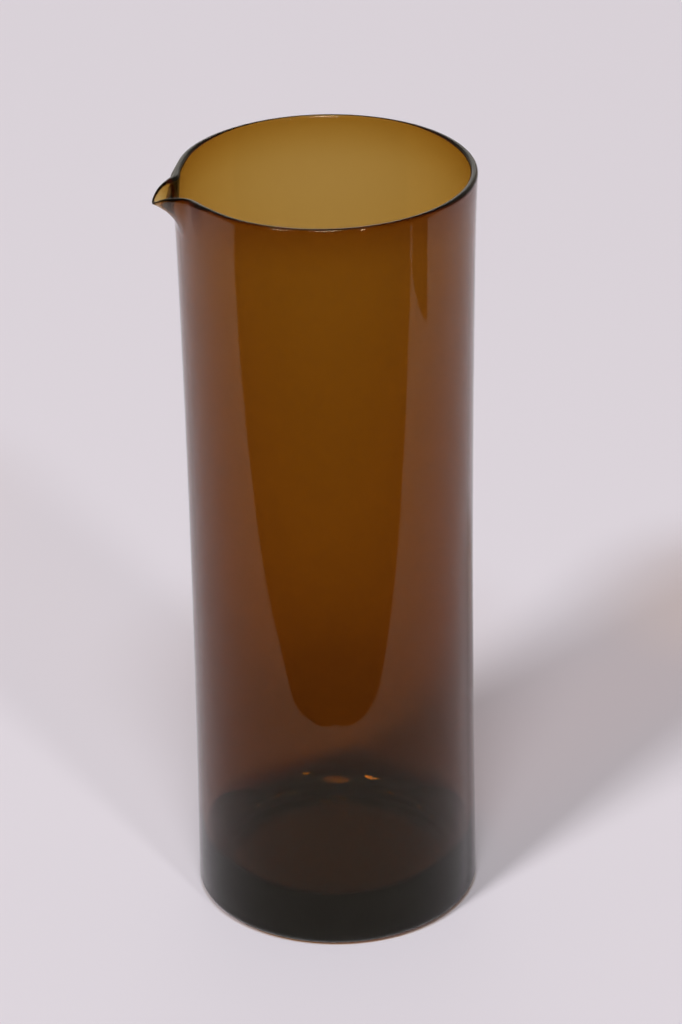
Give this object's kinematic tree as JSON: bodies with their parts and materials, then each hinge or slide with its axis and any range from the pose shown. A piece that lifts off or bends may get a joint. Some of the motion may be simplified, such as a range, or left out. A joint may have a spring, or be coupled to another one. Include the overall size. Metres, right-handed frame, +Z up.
{
  "type": "carafe",
  "caption": "Tall straight-sided carafe blown in one piece of brown glass, with a thick flat floor, a rounded rim and a small pouring lip pulled out of the rim.",
  "frame": {"origin": "middle of the flat underside, on the body's axis", "axes": "+Z up along the body's axis, towards the open mouth; -X towards the pouring lip; the XZ plane is the mirror plane"},
  "size_m": [0.1025, 0.095, 0.2558],
  "materials": {
    "brown_glass": "clear brown soda glass, fire-polished, with slight mould waviness"
  },
  "bodies": {
    "root": {"glass_body": "brown_glass"}
  },
  "joints": []
}
